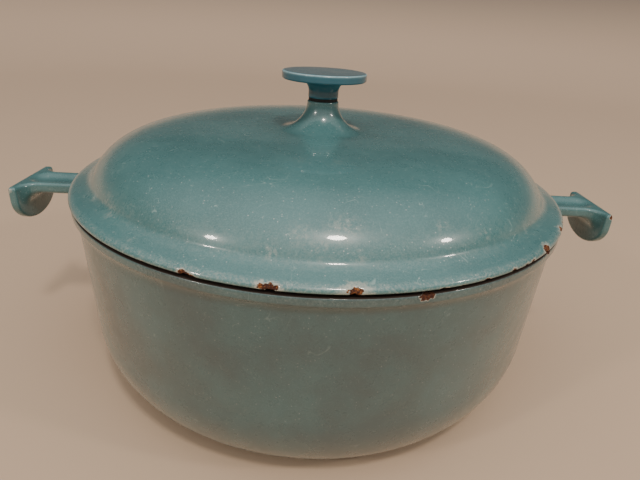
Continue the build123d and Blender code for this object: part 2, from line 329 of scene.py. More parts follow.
def pot_outline():
    """The pot's section from the middle of its base to the middle of its floor, marked in the same way."""
    shoulder = SEAM - RIM_STEP
    rim_outer = COLLAR_RADIUS - RIM_ROUND
    inner_top = WALL_TOP_RADIUS - WALL
    angles = np.radians(np.linspace(-90, 0, 34))
    foot = np.column_stack(
        (
            BASE_RADIUS + (WALL_FOOT_RADIUS - BASE_RADIUS) * np.cos(angles),
            WALL_FOOT_HEIGHT + (WALL_FOOT_HEIGHT - FOOT_RING) * np.sin(angles),
        )
    )
    inner_angles = np.radians(np.linspace(0, -90, 22))
    inner_foot = np.column_stack(
        (
            BASE_RADIUS + (WALL_FOOT_RADIUS - WALL - BASE_RADIUS) * np.cos(inner_angles),
            WALL_FOOT_HEIGHT + (WALL_FOOT_HEIGHT - FLOOR) * np.sin(inner_angles),
        )
    )
    ring_inner = BASE_RADIUS - RING_WIDTH
    collar_foot = (COLLAR_RADIUS - 0.5, COLLAR_FOOT - 0.4)
    collar_side = (COLLAR_RADIUS, COLLAR_FOOT + 0.5)
    outside = [
        line((0, FOOT_RING), (ring_inner - 1, FOOT_RING), 12),
        bend((ring_inner - 1, FOOT_RING), (ring_inner + 0.6, 0), (1, 0), (1, 0), 6),
        line((ring_inner + 0.6, 0), (BASE_RADIUS - 1.6, 0), 1),
        bend((BASE_RADIUS - 1.6, 0), (BASE_RADIUS + 0.6, FOOT_RING), (1, 0), (1, 0.3), 6),
        foot[1:],
        line((WALL_FOOT_RADIUS, WALL_FOOT_HEIGHT), (WALL_TOP_RADIUS, COVE_FOOT), 3.2),
        bend((WALL_TOP_RADIUS, COVE_FOOT), collar_foot, (0, 1), (1, 0.8), 9),
        bend(collar_foot, collar_side, (1, 0.8), (0, 1), 6),
        line(collar_side, (COLLAR_RADIUS, shoulder - RIM_ROUND), 0.5),
        arc((rim_outer, shoulder - RIM_ROUND), RIM_ROUND, 0, 90, 6),
        line((rim_outer, shoulder), (RIM_LAND + 0.9, shoulder), 1.2),
        bend((RIM_LAND + 0.9, shoulder), (RIM_LAND - 0.4, SEAM), (-1, 0), (-1, 0), 7),
    ]
    inside = [
        line((RIM_LAND - 0.4, SEAM), (inner_top + INNER_ROUND, SEAM), 1.2),
        arc((inner_top + INNER_ROUND, SEAM - INNER_ROUND), INNER_ROUND, 90, 180, 7),
        line((inner_top, SEAM - INNER_ROUND), (WALL_FOOT_RADIUS - WALL, WALL_FOOT_HEIGHT), 7),
        inner_foot,
        line((BASE_RADIUS, FLOOR), (0, FLOOR), 9),
    ]
    points, owner = chain(*outside, *inside)
    return points, owner >= len(outside)


# Meshes


def columns(radius, coarse, fine, spots, reach):
    """Angles round the axis, coarse mm apart, and fine mm apart within reach of the spots' angles."""
    fan = np.linspace(0, FULL_TURN, 20001)
    spacing = np.full(fan.shape, float(coarse))
    for spot in spots:
        away = radius * np.abs((fan - spot + math.pi) % FULL_TURN - math.pi)
        spacing = np.minimum(spacing, fine + (coarse - fine) * np.clip((away - reach) / reach, 0, 1))
    share = np.concatenate(([0], np.cumsum(2 / (spacing[1:] + spacing[:-1]) * np.diff(fan) * radius)))
    count = int(round(share[-1]))
    return np.interp(np.arange(count) / count * share[-1], share, fan)


def lathe(outline, angles, closed):
    """Points and quads of an outline turned about the axis. A closed outline comes back to its start."""
    rows, turns = len(outline), len(angles)
    ring = np.column_stack((np.cos(angles), np.sin(angles)))
    points = np.empty((rows, turns, 3))
    points[:, :, :2] = outline[:, None, :1] * ring[None]
    points[:, :, 2] = outline[:, None, 1]
    grid = np.arange(rows * turns).reshape(rows, turns)
    onward = np.roll(grid, -1, axis=1)
    last = rows if closed else rows - 1
    faces = []
    for row in range(last):
        above = (row + 1) % rows
        faces.append(np.column_stack((grid[row], grid[above], onward[above], onward[row])))
    return points.reshape(-1, 3), np.concatenate(faces)


def weld_axis(points, faces):
    """Polygons that share one point at each place on the axis, and the points that they use."""
    on_axis = np.flatnonzero(np.hypot(points[:, 0], points[:, 1]) < 1e-6)
    keep = np.arange(len(points))
    for index in on_axis:
        keep[index] = on_axis[points[on_axis, 2] == points[index, 2]][0]
    quads = keep[faces].tolist()
    polygons = [[corner for i, corner in enumerate(quad) if corner != quad[i - 1]] for quad in quads]
    used = np.unique(np.concatenate(polygons))
    place = np.zeros(len(points), int)
    place[used] = np.arange(len(used))
    return [place[polygon].tolist() for polygon in polygons], used


def soft_and(a, b, radius):
    """Where both solids are, with their shared edge rounded."""
    corner = np.hypot(np.maximum(a + radius, 0), np.maximum(b + radius, 0))
    return np.minimum(np.maximum(a, b), -radius) + corner


def soft_or(a, b, radius):
    """Where either solid is, with a fillet between them."""
    corner = np.hypot(np.maximum(radius - a, 0), np.maximum(radius - b, 0))
    return np.maximum(np.minimum(a, b), radius) - corner


def surface_net(field, low, high, cell):
    """Quads on the surface where field is 0, negative inside, drawn tight to it."""
    low, high = np.array(low, float), np.array(high, float)
    counts = np.ceil((high - low) / cell).astype(int) + 1
    lines = [low[i] + cell * np.arange(counts[i]) for i in range(3)]
    nodes = np.stack(np.meshgrid(*lines, indexing="ij"), -1)
    value = field(nodes.reshape(-1, 3)).reshape(counts)
    inside = value < 0
    corners = [np.s_[i : i + counts[0] - 1, j : j + counts[1] - 1, k : k + counts[2] - 1]
               for i in (0, 1) for j in (0, 1) for k in (0, 1)]
    filled = sum(inside[c].astype(int) for c in corners)
    mixed = (filled > 0) & (filled < 8)
    total, hits = np.zeros((*mixed.shape, 3)), np.zeros(mixed.shape)
    faces = []
    index = np.full(mixed.shape, -1)
    index[mixed] = np.arange(mixed.sum())
    for axis in range(3):
        one, two = (axis + 1) % 3, (axis + 2) % 3
        first = [slice(None)] * 3
        second = [slice(None)] * 3
        first[axis], second[axis] = slice(None, -1), slice(1, None)
        first, second = tuple(first), tuple(second)
        crossing = inside[first] != inside[second]
        with np.errstate(divide="ignore", invalid="ignore"):
            share = np.where(crossing, value[first] / (value[first] - value[second]), 0)
        place = nodes[first] + share[..., None] * (nodes[second] - nodes[first])
        for i in (0, 1):
            for j in (0, 1):
                pick = [slice(None)] * 3
                pick[one] = slice(i, i + counts[one] - 1)
                pick[two] = slice(j, j + counts[two] - 1)
                pick = tuple(pick)
                total += place[pick] * crossing[pick][..., None]
                hits += crossing[pick]
        inner = [slice(None)] * 3
        inner[one], inner[two] = slice(1, counts[one] - 1), slice(1, counts[two] - 1)
        where = np.argwhere(crossing[tuple(inner)])
        where[:, one] += 1
        where[:, two] += 1
        loop = []
        for i, j in ((-1, -1), (0, -1), (0, 0), (-1, 0)):
            spot = where.copy()
            spot[:, one] += i
            spot[:, two] += j
            loop.append(index[tuple(spot.T)])
        quad = np.column_stack(loop)
        outward = inside[first][tuple(where.T)]
        quad[~outward] = quad[~outward][:, ::-1]
        faces.append(quad)
    points = total[mixed] / hits[mixed][:, None]
    step = 0.02
    for _ in range(4):
        at = field(points)
        slope = np.column_stack(
            [(field(points + step * way) - field(points - step * way)) / (2 * step) for way in np.eye(3)]
        )
        size = np.maximum((slope**2).sum(1), 0.25)
        points -= np.clip(at / size, -cell / 2, cell / 2)[:, None] * slope * 0.9
    return points, np.concatenate(faces)


def piece(name, points, faces, material, body, slot, node, **paints):
    """A smooth-shaded mesh, points in mm, that stands for a CAD node and moves with its body.

    Each paint is one number per point, which the material reads."""
    mesh = bpy.data.meshes.new(name)
    polygons, used = weld_axis(points, faces)
    mesh.from_pydata((points[used] * MM).tolist(), [], polygons)
    mesh.validate()
    mesh.update()
    mesh.shade_smooth()
    made = bpy.data.objects.new(name, mesh)
    bpy.context.scene.collection.objects.link(made)
    mesh.materials.append(material)
    for label, values in paints.items():
        layer = mesh.attributes.new(label, "FLOAT", "POINT")
        layer.data.foreach_set("value", np.asarray(values, np.float32)[used])
    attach(made, body)
    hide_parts(node)


def wobble(points, size, seed):
    """Smooth noise from -1 to 1 at each point, with features of about size mm."""
    shift = Vector((seed * 17.3, seed * 5.1, seed * 9.7))
    return np.array([noise.fractal(Vector(p) / size + shift, 1.0, 2.0, 3) for p in points])


def blank_damage(count):
    """No chip anywhere: far outside every chip, and outside every halo."""
    return np.full(count, -9.0), np.full(count, -9.0)


def rim_damage(points, chips, radius):
    """How far inside a chip each point is, in mm, and how near in halo widths, for chips on a rim."""
    chip, halo = blank_damage(len(points))
    reach = np.hypot(points[:, 0], points[:, 1])
    turn = np.arctan2(points[:, 1], points[:, 0])
    near_rim = reach > radius - 7
    for number, (angle, height, half_width, half_height, glow) in enumerate(chips):
        side = radius * ((turn - math.radians(angle) + math.pi) % FULL_TURN - math.pi)
        picked = np.flatnonzero(near_rim & (np.abs(side) < half_width * 2 + glow * 2 + 3))
        if not len(picked):
            continue
        inward = np.maximum(radius - 0.4 - reach[picked], 0)
        spread = np.sqrt(
            (side[picked] / half_width) ** 2
            + ((points[picked, 2] - height) / half_height) ** 2
            + (inward / half_height) ** 2
        )
        size = min(half_width, half_height)
        ragged = wobble(points[picked], 2.2, number) * 0.9 + wobble(points[picked], 0.8, number) * 0.4
        depth = (1 - spread) * size + ragged * min(1.0, size * 0.5)
        chip[picked] = np.maximum(chip[picked], depth)
        halo[picked] = np.maximum(halo[picked], (depth + ragged * glow * 0.4) / glow)
    return chip, halo


def point_damage(points, chips):
    """The same for chips round points."""
    chip, halo = blank_damage(len(points))
    for number, (centre, size, glow) in enumerate(chips):
        away = np.linalg.norm(points - np.array(centre) - [0, 0, SEAM], axis=1)
        picked = np.flatnonzero(away < size + glow * 2 + 3)
        if not len(picked):
            continue
        ragged = wobble(points[picked], 2.0, number + 40) * 0.8
        depth = size - away[picked] + ragged
        chip[picked] = np.maximum(chip[picked], depth)
        halo[picked] = np.maximum(halo[picked], (depth + ragged * glow * 0.4) / glow)
    return chip, halo


def sink(points, inward, chip, depth):
    """Push chipped points in below the enamel's surface, with a rough floor."""
    share = np.clip(chip / 0.35, 0, 1)
    share = share * share * (3 - 2 * share)
    picked = np.flatnonzero(share > 0)
    rough = np.zeros(len(points))
    if len(picked):
        rough[picked] = wobble(points[picked], 0.9, 3)
    points += inward * (share * (depth + rough * depth * 0.45))[:, None]


def vertex_normals(points, faces):
    """Average direction of the faces round each point."""
    corners = [points[faces[:, i]] for i in range(4)]
    face_normal = np.cross(corners[2] - corners[0], corners[3] - corners[1])
    total = np.zeros(points.shape)
    for i in range(4):
        np.add.at(total, faces[:, i], face_normal)
    return total / np.maximum(np.linalg.norm(total, axis=1), 1e-12)[:, None]


def turned_out(points, faces):
    """The faces and the points' normals, flipped if the outermost point would face the axis."""
    normals = vertex_normals(points, faces)
    outermost = int(np.argmax(np.hypot(points[:, 0], points[:, 1])))
    if normals[outermost] @ (points[outermost] * [1, 1, 0]) < 0:
        return faces[:, ::-1], -normals
    return faces, normals


# Materials


class Shader:
    """Builds one node material, in the object's own coordinates in mm."""

    def __init__(self, name):
        self.material = bpy.data.materials.new(name)
        self.material.use_nodes = True
        self.tree = self.material.node_tree
        self.tree.nodes.clear()
        output = self.tree.nodes.new("ShaderNodeOutputMaterial")
        self.surface = self.tree.nodes.new("ShaderNodeBsdfPrincipled")
        self.tree.links.new(self.surface.outputs["BSDF"], output.inputs["Surface"])
        coordinates = self.tree.nodes.new("ShaderNodeTexCoord")
        self.place = self.maths("VECTOR_MULTIPLY", coordinates.outputs["Object"], (1000, 1000, 1000))

    def plug(self, socket, value):
        if hasattr(value, "is_output"):
            self.tree.links.new(value, socket)
        elif isinstance(value, tuple) and len(value) == 3 and socket.type == "RGBA":
            socket.default_value = (*value, 1)
        else:
            socket.default_value = value

    def set(self, **values):
        """Values or links for the surface's sockets, named with underscores for spaces."""
        for name, value in values.items():
            self.plug(self.surface.inputs[name.replace("_", " ")], value)

    def maths(self, kind, *values):
        vector = kind.startswith("VECTOR_")
        node = self.tree.nodes.new("ShaderNodeVectorMath" if vector else "ShaderNodeMath")
        node.operation = kind.removeprefix("VECTOR_")
        for socket, value in zip(node.inputs, values):
            self.plug(socket, value)
        return node.outputs[0]

    def noise(self, size, detail=3.0, roughness=0.55, distortion=0.0, place=None):
        """Noise from 0 to 1 with features of about size mm."""
        node = self.tree.nodes.new("ShaderNodeTexNoise")
        self.plug(node.inputs["Vector"], self.place if place is None else place)
        node.inputs["Scale"].default_value = 1 / size
        node.inputs["Detail"].default_value = detail
        node.inputs["Roughness"].default_value = roughness
        node.inputs["Distortion"].default_value = distortion
        return node.outputs["Fac"]

    def dots(self, size):
        """Distance from the nearest of scattered points, in cells of about size mm, and a random value."""
        node = self.tree.nodes.new("ShaderNodeTexVoronoi")
        self.plug(node.inputs["Vector"], self.place)
        node.inputs["Scale"].default_value = 1 / size
        apart = self.tree.nodes.new("ShaderNodeSeparateXYZ")
        self.tree.links.new(node.outputs["Color"], apart.inputs[0])
        return node.outputs["Distance"], apart.outputs[0]

    def attribute(self, name):
        node = self.tree.nodes.new("ShaderNodeAttribute")
        node.attribute_name = name
        return node.outputs["Fac"]

    def ramp(self, value, low, high, to_low=0.0, to_high=1.0):
        """Smooth step of value between low and high."""
        node = self.tree.nodes.new("ShaderNodeMapRange")
        node.interpolation_type = "SMOOTHSTEP"
        for name, number in (("From Min", low), ("From Max", high), ("To Min", to_low), ("To Max", to_high)):
            node.inputs[name].default_value = number
        self.plug(node.inputs["Value"], value)
        return node.outputs["Result"]

    def mix(self, share, first, second):
        """Colour that goes from first to second."""
        node = self.tree.nodes.new("ShaderNodeMix")
        node.data_type = "RGBA"
        self.plug(node.inputs["Factor"], share)
        self.plug(node.inputs["A"], first)
        self.plug(node.inputs["B"], second)
        return node.outputs["Result"]

    def blend(self, share, first, second):
        """Number that goes from first to second."""
        node = self.tree.nodes.new("ShaderNodeMix")
        self.plug(node.inputs["Factor"], share)
        self.plug(node.inputs["A"], first)
        self.plug(node.inputs["B"], second)
        return node.outputs["Result"]

    def axis(self, name):
        """One coordinate in mm."""
        apart = self.tree.nodes.new("ShaderNodeSeparateXYZ")
        self.tree.links.new(self.place, apart.inputs[0])
        return apart.outputs[name]

    def bump(self, height, distance, strength=1.0, under=None):
        """Normal from a height of 0 to 1 that stands distance mm high."""
        node = self.tree.nodes.new("ShaderNodeBump")
        node.inputs["Distance"].default_value = distance * MM
        node.inputs["Strength"].default_value = strength
        self.plug(node.inputs["Height"], height)
        if under is not None:
            self.plug(node.inputs["Normal"], under)
        return node.outputs["Normal"]


def scratches(shader, size, width, share):
    """Hair-thin curved marks: level lines of a noise, kept only in patches."""
    level = shader.noise(size, 1.0, 0.4, 0.6)
    off = shader.maths("ABSOLUTE", shader.maths("SUBTRACT", level, 0.5))
    thin = shader.ramp(off, width * 0.35, width, 1.0, 0.0)
    patches = shader.ramp(shader.noise(size * 0.8, 2.0), 1 - share, 1 - share + 0.08)
    return shader.maths("MULTIPLY", thin, patches)


def enamel(name, fresh_rust):
    """Vitreous enamel: fine pale speckle, hair scratches, scuffs, worn edges, and chips down to rust.

    The share of bright rust in the chips is fresh_rust."""
    shader = Shader(name)
    grain = shader.noise(0.6, 2.0, 0.7)
    cloud = shader.noise(34.0, 3.0, 0.5)
    colour = shader.mix(shader.ramp(cloud, 0.3, 0.7), DEEP_TEAL, TEAL)
    colour = shader.mix(shader.ramp(grain, 0.4, 0.8, 0.0, SPECKLE), colour, PALE_GRAIN)
    distance, chance = shader.dots(1.7)
    spots = shader.ramp(distance, 0.10, 0.2, 1.0, 0.0)
    specks = shader.maths("MULTIPLY", spots, shader.ramp(chance, 0.5, 0.9))
    colour = shader.mix(shader.maths("MULTIPLY", specks, SPECKLE * 2), colour, PALE_SPECK)
    long_marks = scratches(shader, 14.0, 0.005, 0.44)
    short_marks = scratches(shader, 6.0, 0.01, 0.4)
    marks = shader.maths("MAXIMUM", long_marks, short_marks)
    colour = shader.mix(shader.maths("MULTIPLY", marks, 0.55), colour, SCRATCH)

    # Painted shade: the pot's wall and its handles' roots are darkened in mottled patches, standing in for
    # the shade that falls on the wall
    patches = shader.ramp(shader.noise(45.0, 4.0, 0.6), 0.3, 0.7, 0.36, 0.66)
    painted_wall_shade = shader.maths("MULTIPLY", shader.attribute("painted_wall_shade"), patches)
    colour = shader.mix(painted_wall_shade, colour, WALL_SHADE_COLOUR)

    streaks = shader.ramp(shader.noise(1.8, 6.0, 0.8), 0.45, 0.58)
    scuff = shader.maths("MULTIPLY", shader.attribute("scuff"), streaks)
    rubs = shader.ramp(shader.noise(1.1, 5.0, 0.8), 0.46, 0.62)
    wear = shader.maths("MULTIPLY", shader.attribute("wear"), rubs)
    rubbed = shader.maths("MULTIPLY", shader.maths("MAXIMUM", scuff, wear), 0.55)
    colour = shader.mix(rubbed, colour, RUBBED)

    frayed = shader.maths("MULTIPLY", shader.maths("SUBTRACT", shader.noise(0.7, 3.0), 0.5), 0.9)
    chip_edge = shader.maths("ADD", shader.attribute("chip"), frayed)
    halo_edge = shader.maths("ADD", shader.attribute("halo"), frayed)
    halo = shader.ramp(halo_edge, -1.0, -0.2)
    halo = shader.maths("MULTIPLY", halo, shader.ramp(shader.noise(1.1, 5.0, 0.8), 0.3, 0.6, 0.2, 0.6))
    colour = shader.mix(halo, colour, CHIP_HALO)
    outline = shader.ramp(chip_edge, -0.5, -0.12)
    colour = shader.mix(shader.maths("MULTIPLY", outline, 0.45), colour, CHIP_EDGE)

    ragged = shader.maths("ADD", shader.attribute("inside"), shader.maths("MULTIPLY", frayed, 0.5))
    inside = shader.ramp(ragged, 0.45, 0.55)
    stain = shader.ramp(shader.noise(30.0, 5.0, 0.6), 0.45, 0.8, 0.0, 0.35)
    cream = shader.mix(stain, CREAM, CREAM_STAIN)
    cream = shader.mix(shader.maths("MULTIPLY", specks, 0.25), cream, CREAM_SPECK)
    colour = shader.mix(inside, colour, cream)

    bare = shader.attribute("bare")
    bare_iron = shader.mix(shader.noise(1.5, 4.0, 0.7), BLACK_IRON, BROWN_IRON)
    colour = shader.mix(bare, colour, bare_iron)
    bright_rust = shader.ramp(shader.noise(1.1, 4.0, 0.7), 0.46, 0.62, 0.0, fresh_rust)
    rust = shader.mix(bright_rust, OLD_RUST, BRIGHT_RUST)
    chip = shader.ramp(chip_edge, -0.06, 0.06)
    colour = shader.mix(chip, colour, rust)

    haze = shader.ramp(shader.noise(9.0, 4.0, 0.6), 0.3, 0.75, 0.24, 0.38)
    gloss = shader.maths("ADD", haze, shader.maths("MULTIPLY", rubbed, 0.3))
    gloss = shader.maths("ADD", gloss, shader.maths("MULTIPLY", halo, 0.2))
    bared = shader.maths("MAXIMUM", chip, bare)
    rough = shader.blend(bared, gloss, 0.92)
    orange_peel = shader.bump(shader.noise(9.0, 0.0), 0.03)
    grit = shader.bump(grain, 0.002, under=orange_peel)
    pitted = shader.bump(shader.maths("MULTIPLY", chip, shader.noise(0.8, 4.0)), 0.5, under=grit)
    shader.set(
        Base_Color=colour,
        Roughness=rough,
        Normal=pitted,
        Coat_Weight=shader.blend(bared, 0.75, 0.0),
        Coat_Roughness=0.06,
        IOR=1.5,
    )
    return shader.material


def phenolic():
    """The knob's moulded plastic: deep slate-teal, glossy, its top edge paler all round: slightly rubbed,
    and partly a painted highlight.
    """
    shader = Shader("knob_phenolic")
    cloud = shader.noise(20.0, 2.0, 0.5)
    colour = shader.mix(shader.ramp(cloud, 0.3, 0.7), (0.028, 0.130, 0.180), (0.034, 0.148, 0.200))
    marks = scratches(shader, 9.0, 0.005, 0.4)
    colour = shader.mix(shader.maths("MULTIPLY", marks, 0.12), colour, (0.2, 0.3, 0.33))
    rubs = shader.ramp(shader.noise(2.5, 4.0, 0.7), 0.2, 0.6, 0.4, 1.0)
    # Painted highlight: a pale line round the top edge, partly rubbed plastic and partly standing in for the
    # edge's reflection
    rubbed_edge_and_highlight = shader.maths("MULTIPLY", shader.attribute("wear"), rubs)
    colour = shader.mix(shader.maths("MULTIPLY", rubbed_edge_and_highlight, 0.8), colour, (0.44, 0.62, 0.66))
    haze = shader.ramp(shader.noise(12.0, 3.0), 0.3, 0.7, 0.09, 0.15)
    shader.set(
        Base_Color=colour,
        Roughness=shader.maths("ADD", haze, shader.maths("MULTIPLY", rubbed_edge_and_highlight, 0.15)),
        Normal=shader.bump(shader.noise(11.0, 2.0, 0.4), 0.02),
        IOR=1.55,
    )
    return shader.material


def fibre():
    """The gasket's matt black fibre."""
    shader = Shader("gasket_fibre")
    grain = shader.noise(0.5, 4.0, 0.7)
    colour = shader.mix(shader.ramp(grain, 0.35, 0.7), (0.004, 0.004, 0.004), (0.016, 0.012, 0.011))
    rough = shader.ramp(grain, 0.2, 0.8, 0.6, 0.85)
    shader.set(Base_Color=colour, Roughness=rough, Normal=shader.bump(grain, 0.05))
    return shader.material


def metal(name, bright, dull, rough, line_size):
    """Turned metal with fine lines round the axis and dull patches."""
    shader = Shader(name)
    across = shader.maths("VECTOR_MULTIPLY", shader.place, (0.15, 0.15, 4.0))
    lines = shader.noise(line_size, 3.0, 0.6, place=across)
    patches = shader.ramp(shader.noise(3.0, 4.0, 0.6), 0.4, 0.7)
    shader.set(
        Base_Color=shader.mix(patches, bright, dull),
        Metallic=1.0,
        Roughness=shader.ramp(lines, 0.3, 0.7, rough, rough + 0.18),
        Normal=shader.bump(lines, 0.01),
    )
    return shader.material


# Pieces


def build_lid(material):
    """The lid, with its chips cut into the mesh."""
    outline, inner = lid_outline()
    spots = [math.radians(c[0]) for c in LID_CHIPS]
    angles = columns(LID_RADIUS, coarse=3.0, fine=0.55, spots=spots, reach=3.5)
    points, faces = lathe(outline, angles, closed=True)
    faces, normals = turned_out(points, faces)
    local = points - [0, 0, SEAM]
    chip, halo = rim_damage(local, LID_CHIPS, LID_RADIUS)
    sink(points, -normals, chip, 0.55)
    reach = np.hypot(local[:, 0], local[:, 1])
    low_enough = np.clip((RUB_TOP - local[:, 2]) / RUB_FADE, 0, 1)
    far_enough = np.clip((reach - RUB_RADIUS) / RUB_FADE, 0, 1)
    turn = np.arctan2(local[:, 1], local[:, 0])
    scuff = np.zeros(len(points))
    for angle, distance, size, strength in SCUFFS:
        side = reach * ((turn - math.radians(angle) + math.pi) % FULL_TURN - math.pi)
        across = reach - distance
        scuff = np.maximum(scuff, strength * np.exp(-(side**2 + (across * 1.4) ** 2) / size**2))
    band = 0.18 * np.exp(-(((reach - SCUFFED_RADIUS) / SCUFFED_WIDTH) ** 2))
    piece(
        "lid_casting",
        points,
        faces,
        material,
        "lid",
        "lid_enamel",
        "lid",
        chip=chip,
        halo=halo,
        wear=0.7 * low_enough * far_enough,
        scuff=np.maximum(scuff, band),
        inside=np.repeat(inner.astype(float), len(angles)),
        bare=(local[:, 2] < 0.05) & (reach > LIP_RADIUS),
    )


def handle_field(wall_heights, wall_radii):
    """The solid of the handle at +X, as a distance in mm from its surface. Heights count from the seam."""

    def bar_and_plate(p):
        x, y, z = p[:, 0], np.abs(p[:, 1]), p[:, 2]
        bar = soft_and(y - BAR_HALF, BAR_FOOT - z, BAR_CORNER)
        drop = np.minimum(z - BAR_TOP + PLATE_SIDE, 0)
        stretch = np.hypot(y / PLATE_HALF, drop / PLATE_ROUND)
        slope = np.hypot(y / PLATE_HALF**2, drop / PLATE_ROUND**2)
        outline = (stretch - 1) * stretch / np.maximum(slope, 0.02)
        body = soft_or(bar, soft_and(outline, PLATE_INNER - x, EDGE_ROUND), PLATE_FILLET)
        body = soft_and(body, z - BAR_TOP, TOP_ROUND)
        body = soft_and(body, x - PLATE_OUTER, EDGE_ROUND)
        past = np.maximum(x - GROOVE_END, 0)
        over = z - BAR_TOP - GROOVE_RADIUS + GROOVE_DEPTH
        trough = GROOVE_RADIUS - np.sqrt(y**2 + over**2 + past**2)
        return soft_and(body, trough, EDGE_ROUND)

    def whole(p):
        body = bar_and_plate(p)
        reach = np.hypot(p[:, 0], p[:, 1])
        wall = reach - np.interp(p[:, 2], wall_heights, wall_radii) + ROOT_SUNK
        joined = soft_or(body, wall, ROOT_FILLET)
        return np.maximum(np.maximum(joined, body - ROOT_FILLET - 2), ROOT_INSIDE - reach)

    return whole


def build_pot(material):
    """The pot with both handles, and its chips cut into the mesh."""
    outline, inner = pot_outline()
    spots = [math.radians(c[0]) for c in POT_CHIPS]
    angles = columns(COLLAR_RADIUS, coarse=3.2, fine=0.5, spots=spots, reach=4.5)
    points, faces = lathe(outline, angles, closed=False)
    faces, normals = turned_out(points, faces)
    chip, halo = rim_damage(points, POT_CHIPS, COLLAR_RADIUS)
    reach = np.hypot(points[:, 0], points[:, 1])
    ring_contact = (points[:, 2] < 0.4) & (reach > 90)
    sink(points, -normals, chip, 0.5)
    chip[ring_contact] = 0.3
    wear = np.clip((points[:, 2] - 107.0) / 2.0, 0, 1) * (reach > 138) * 0.25
    inside = np.repeat(inner.astype(float), len(angles))
    bare = (points[:, 2] > SEAM - RIM_STEP - 0.4) & (reach > RIM_LAND - 0.5) & (inside == 0)

    outer = outline[~inner]
    outer = outer[outer[:, 1] > 40]
    field = handle_field(outer[:, 1] - SEAM, outer[:, 0])
    grip, grip_faces = surface_net(field, (132, -26, -34.5), (180.6, 26, -0.4), 0.6)
    grip = grip + [0, 0, SEAM]
    body = {"chip": chip, "halo": halo, "wear": wear, "inside": inside, "bare": bare}
    # Painted shade over the whole of the wall
    parts = [(points, faces, body | {"painted_wall_shade": np.ones(len(points))})]
    for side, sign in (("right", 1), ("left", -1)):
        turned = grip * [sign, sign, 1]
        chip_here, halo_here = point_damage(turned, HANDLE_CHIPS[side])
        sink(turned, -vertex_normals(turned, grip_faces), chip_here, 0.4)
        paints = dict.fromkeys(body, np.zeros(len(turned)))
        paints |= {"chip": chip_here, "halo": halo_here}
        # Painted shade on the handles: full at the root by the wall, fading to a little on the plates
        paints["painted_wall_shade"] = np.clip((150 - np.hypot(turned[:, 0], turned[:, 1])) / 12, 0.15, 1)
        parts.append((turned, grip_faces, paints))
    shifts = np.cumsum([0] + [len(part[0]) for part in parts[:-1]])
    all_points = np.concatenate([part[0] for part in parts])
    all_faces = np.concatenate([part[1] + shift for part, shift in zip(parts, shifts)])
    joined = {label: np.concatenate([part[2][label] for part in parts]) for label in parts[0][2]}
    piece("pot_casting", all_points, all_faces, material, "pot", "pot_enamel", "pot", **joined)


def build_knob(material):
    """The knob, with the pocket for its insert."""
    flare_top = (NECK_RADIUS + NECK_FILLET, DISC_FOOT - NECK_FILLET)
    outline, _ = chain(
        line((0, INSERT_TOP), (INSERT_RADIUS, INSERT_TOP), 1.5),
        line((INSERT_RADIUS, INSERT_TOP), (INSERT_RADIUS, KNOB_FOOT), 2),
        line((INSERT_RADIUS, KNOB_FOOT), (NECK_RADIUS - NECK_ROUND, KNOB_FOOT), 1),
        arc((NECK_RADIUS - NECK_ROUND, KNOB_FOOT + NECK_ROUND), NECK_ROUND, -90, 0, 4),
        line((NECK_RADIUS, KNOB_FOOT + NECK_ROUND), (NECK_RADIUS, flare_top[1]), 1),
        arc(flare_top, NECK_FILLET, 180, 90, 18),
        line((NECK_RADIUS + NECK_FILLET, DISC_FOOT), (DISC_RADIUS - DISC_ROUND, DISC_FOOT), 2),
        arc((DISC_RADIUS - DISC_ROUND, DISC_FOOT + DISC_ROUND), DISC_ROUND, -90, 0, 7),
        line((DISC_RADIUS, DISC_FOOT + DISC_ROUND), (DISC_RADIUS, KNOB_TOP - DISC_ROUND), 0.7),
        arc((DISC_RADIUS - DISC_ROUND, KNOB_TOP - DISC_ROUND), DISC_ROUND, 0, 90, 9),
        line((DISC_RADIUS - DISC_ROUND, KNOB_TOP), (0, KNOB_TOP), 2),
    )
    outline += [0, SEAM]
    angles = np.linspace(0, FULL_TURN, 192, endpoint=False)
    points, faces = lathe(outline, angles, closed=False)
    faces, _ = turned_out(points, faces)
    # Where the top edge is painted pale: partly rubbing, partly a painted highlight
    inward = DISC_RADIUS - 0.3 - np.hypot(points[:, 0], points[:, 1])
    below = SEAM + KNOB_TOP - 0.3 - points[:, 2]
    edge = np.clip(1 - np.hypot(inward, below) / 0.9, 0, 1)
    piece("knob_moulding", points, faces, material, "knob", "knob_plastic", "knob", wear=edge)


